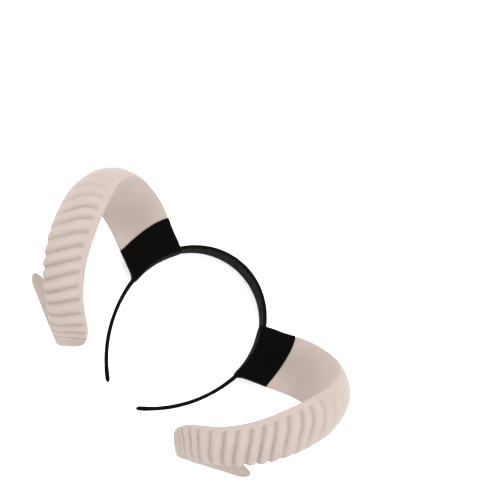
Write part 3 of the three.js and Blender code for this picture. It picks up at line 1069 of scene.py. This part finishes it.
@dataclass
class RootSleeve:
    """Black fabric sleeve over a horn's root, closed round the hoop."""

    path: HornPath
    shift: Array
    side: Side
    finish: StretchKnit = StretchKnit()
    wall: float = 1.0
    length: float = 23.0
    head_side: float = 1.3
    corners: Pair = (0.9, 1.5)
    arch_start: float = 0.35
    side_span: Pair = (0.42, 0.52)
    side_hug: float = 0.85
    inner_start: float = 0.2
    hem_place: float = 0.985
    middle_place: float = 0.42
    edge_span: float = 0.05
    edge_inset: float = 1.2
    start_shrinks: Row = (0.02, 0.5, 0.9, 0.98)
    end_shrinks: Row = (0.97, 0.93, 0.86, 0.76, 0.64, 0.52, 0.40, 0.27, 0.14, 0.03)
    wall_rings: int = 22
    head_rings: int = 38
    hem_rings: int = 9
    edge_rings: int = 7
    round_share: float = 0.9
    turned_in: float = 14.0
    bumps: Pairs = ((0.10, 7.0),)
    seeds: tuple[int, int] = (31, 43)
    ring_points: int = 176

    def ring(self, place: float, inset: float, shrink: float = 1.0) -> Array:
        """One section of the sleeve in space.

        Args:
            place: 0 at the hoop's inner line and 1 at the rim.
            inset: How far the section is drawn in, in millimetres.
            shrink: Size of the section about its middle, for closing the head side.

        Returns:
            Points in millimetres.
        """
        here = np.array([place])
        spread, shift, box = (float(smooth_column(SLEEVE_ROWS, k, here)[0]) for k in (1, 2, 3))
        form = SectionForm(spread=spread, shift=shift, box=box, inset=inset)
        turn = self.path.turn_along_root(place * self.length)
        flat = self.path.outline(turn, np.zeros(len(DOME)), form)
        flat = soften_ring(flat, lerp(*self.corners, box), self.ring_points)
        middle = flat.mean(0)
        arch = self.path.rim_arch(flat[:, :1]) * smoothstep(place, self.arch_start, 1.0)
        centre, wide, deep = self.path.frames(np.array([turn]))
        flat = middle + (flat - middle) * shrink
        points = centre + flat[:, :1] * wide + flat[:, 1:] * deep + self.path.out * arch
        down = points @ self.path.down
        aside = np.abs(down - self.path.root_offset) / self.path.width
        hug = self.side_hug * smoothstep(aside, *self.side_span)
        along = place * self.length * (1.0 - hug * float(place < 0.0))
        bend = self.path.out_at(down) + along - points @ self.path.out
        return points + self.path.out * (bend * np.clip(1.0 - place, 0.0, 1.0))[:, None]

    def build(self) -> Piece:
        """Makes the sleeve's mesh, a fabric wall turned in at the rim.

        Returns:
            The sleeve, dressed in its finish and standing for its solid.
        """
        rings = []
        for shrink in self.start_shrinks:
            rings.append(self.ring(self.inner_start, self.wall, shrink))
        for place in np.linspace(self.inner_start, self.hem_place, self.wall_rings):
            rings.append(self.ring(float(place), self.wall))
        hem = self.wall / 2.0 / self.length
        for turn in np.linspace(0.0, math.pi, self.hem_rings)[1:-1]:
            drawn = self.wall * (1.0 + math.cos(turn)) / 2.0
            rings.append(self.ring(self.hem_place + hem * math.sin(turn), drawn))
        for place in np.linspace(self.hem_place, self.middle_place, self.wall_rings):
            rings.append(self.ring(float(place), 0.0))
        low = -self.head_side / self.length
        for place in np.linspace(self.middle_place, low + self.edge_span, self.head_rings)[1:]:
            rings.append(self.ring(float(place), 0.0))
        for turn in np.linspace(0.0, math.pi / 2.0, self.edge_rings)[1:]:
            drawn = self.edge_inset * (1.0 - math.cos(turn))
            rings.append(self.ring(low + self.edge_span * (1.0 - math.sin(turn)), drawn))
        for shrink in self.end_shrinks:
            rings.append(self.ring(low, self.edge_inset, shrink))
        left = self.side is Side.LEFT
        solid = ValueNoise(self.seeds[left]).roughen(np.array(rings) + self.shift, self.bumps)
        piece = closed_mesh(f"sleeve_{self.side.word}_knit", solid, left, self.finish.material())
        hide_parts(f"sleeve_{self.side.word}")
        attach(piece, "root")
        return piece


@dataclass
class HairHoop:
    """Springy plastic band with rounded edges and slightly swollen tips."""

    path: HornPath
    shift: Array
    finish: SatinPlastic = SatinPlastic()
    crown_width: float = 27.0
    band_cover: float = 3.0
    tip_width: float = 7.0
    tip_thickness: float = 3.2
    tip_length: float = 8.0
    edge_round: float = 0.9
    edge_soften: float = 0.12
    edge_steps: int = 9
    grown: float = 0.2
    tip_closing: float = 2.2
    tip_narrowing: float = 4.0
    tip_from: float = 0.95
    long_sections: int = 150
    tip_sections: int = 34
    section_points: int = 96

    def band_width(self, share: Array) -> Array:
        """Width of the band along the right half.

        Args:
            share: 0 at the crown and 1 at the tip.

        Returns:
            Widths in millimetres.
        """
        root = self.path.root_share
        sleeve = self.path.thickness - 2.0 * self.band_cover
        high = lerp(self.crown_width, sleeve, smoothstep(share, 0.0, root))
        low = lerp(sleeve, self.tip_width, smoothstep(share, root, 1.0))
        return np.where(share < root, high, low)

    def section(self, width: float, thickness: float) -> Array:
        """Rounded section of the band.

        Args:
            width: Its height as it lies, in millimetres.
            thickness: Its thickness in millimetres.

        Returns:
            Points outward and up in millimetres.
        """
        half, deep = width / 2.0, thickness / 2.0
        corner = min(self.edge_round, deep * 0.95, half * 0.95)
        points = []
        for cx, cy, start in ((deep, half, 0), (-deep, half, 90), (-deep, -half, 180), (deep, -half, 270)):
            x, y = cx - math.copysign(corner, cx), cy - math.copysign(corner, cy)
            for angle in np.radians(np.linspace(start, start + 90, self.edge_steps)):
                points.append((x + corner * math.cos(angle), y + corner * math.sin(angle)))
        return soften_ring(np.array(points), self.edge_soften, self.section_points)

    def build(self) -> Piece:
        """Makes the hoop's mesh.

        Returns:
            The hoop, dressed in its finish and standing for its solid.
        """
        long = np.linspace(0.0, self.tip_from, self.long_sections)[:-1]
        shares = np.concatenate([long, np.linspace(self.tip_from, 1.0, self.tip_sections)])
        signed = np.concatenate([-shares[:0:-1], shares])
        whole = self.path.hoop.arm_drop + self.path.hoop.crown_rise
        rings, across, along, inner = [], [], [], []
        for share in signed:
            there = abs(float(share))
            point, outward = self.path.hoop.at(np.array([there]))
            facing = np.array([np.sign(share) or 1.0, 1.0])
            point, outward = point[0] * facing, outward[0] * facing
            bulb = self.tip_length / whole
            swell = float(smoothstep(there, 1.0 - bulb, 1.0 - bulb / 2.0))
            thick = self.path.hoop.thickness + (self.tip_thickness - self.path.hoop.thickness) * swell
            thick += 2.0 * self.grown
            left = (1.0 - there) * whole * 1.25
            close = math.sqrt(max(1.0 - (1.0 - min(left / self.tip_closing, 1.0)) ** 2, 0.02))
            width = float(self.band_width(np.array([there]))[0]) - (1.0 - close) * self.tip_narrowing
            ring = self.section(max(width, 1.0), thick * max(close, 0.25))
            plan = point + outward * (self.path.hoop.thickness / 2.0 + ring[:, :1])
            rings.append(np.column_stack([plan, self.path.hoop_height + ring[:, 1]]))
            across.append(ring[:, 1] / self.crown_width)
            along.append(np.full(len(ring), float(share)))
            inner.append((ring[:, 0] < 0.0).astype(float))
        solid = np.array(rings) + self.shift
        piece = closed_mesh("headband_hoop_band", solid, False, self.finish.material())
        for name, values in (("across", across), ("along", along), ("inner", inner)):
            paint(piece, name, np.concatenate(values))
        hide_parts("headband_hoop")
        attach(piece, "root")
        return piece


def frame_shift(path: HornPath) -> Array:
    """Where the hoop's own middle lies in the shared frame.

    Args:
        path: The horn's path, which knows the hoop's height.

    Returns:
        The shift in millimetres.
    """
    low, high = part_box("headband_hoop")
    middle_up = (low.z + high.z) / 2.0 / MM
    crown = high.y / MM - path.hoop.thickness - path.hoop.crown_rise
    return np.array([0.0, crown, middle_up - path.hoop_height])


def turn_outward(piece: Piece) -> None:
    """Turns the faces of a closed piece outward where they face in.

    Args:
        piece: The object whose mesh is checked.
    """
    mesh = piece.data
    mesh.calc_loop_triangles()
    points = np.array([v.co for v in mesh.vertices])
    corners = np.array([t.vertices[:] for t in mesh.loop_triangles])
    a, b, c = points[corners[:, 0]], points[corners[:, 1]], points[corners[:, 2]]
    if float((a * np.cross(b, c)).sum()) < 0.0:
        mesh.flip_normals()


def main() -> None:
    """Builds the headband piece by piece."""
    logging.basicConfig(level=logging.INFO, format="%(name)s %(message)s")
    Studio().build()
    path = HornPath()
    shift = frame_shift(path)
    pieces = [HairHoop(path, shift).build()]
    for side in Side:
        pieces.append(RamHorn(path, shift, side).build())
        pieces.append(RootSleeve(path, shift, side).build())
    for piece in pieces:
        turn_outward(piece)
        log.info("%s: %d faces", piece.name, len(piece.data.polygons))


if __name__ == "__main__":
    main()
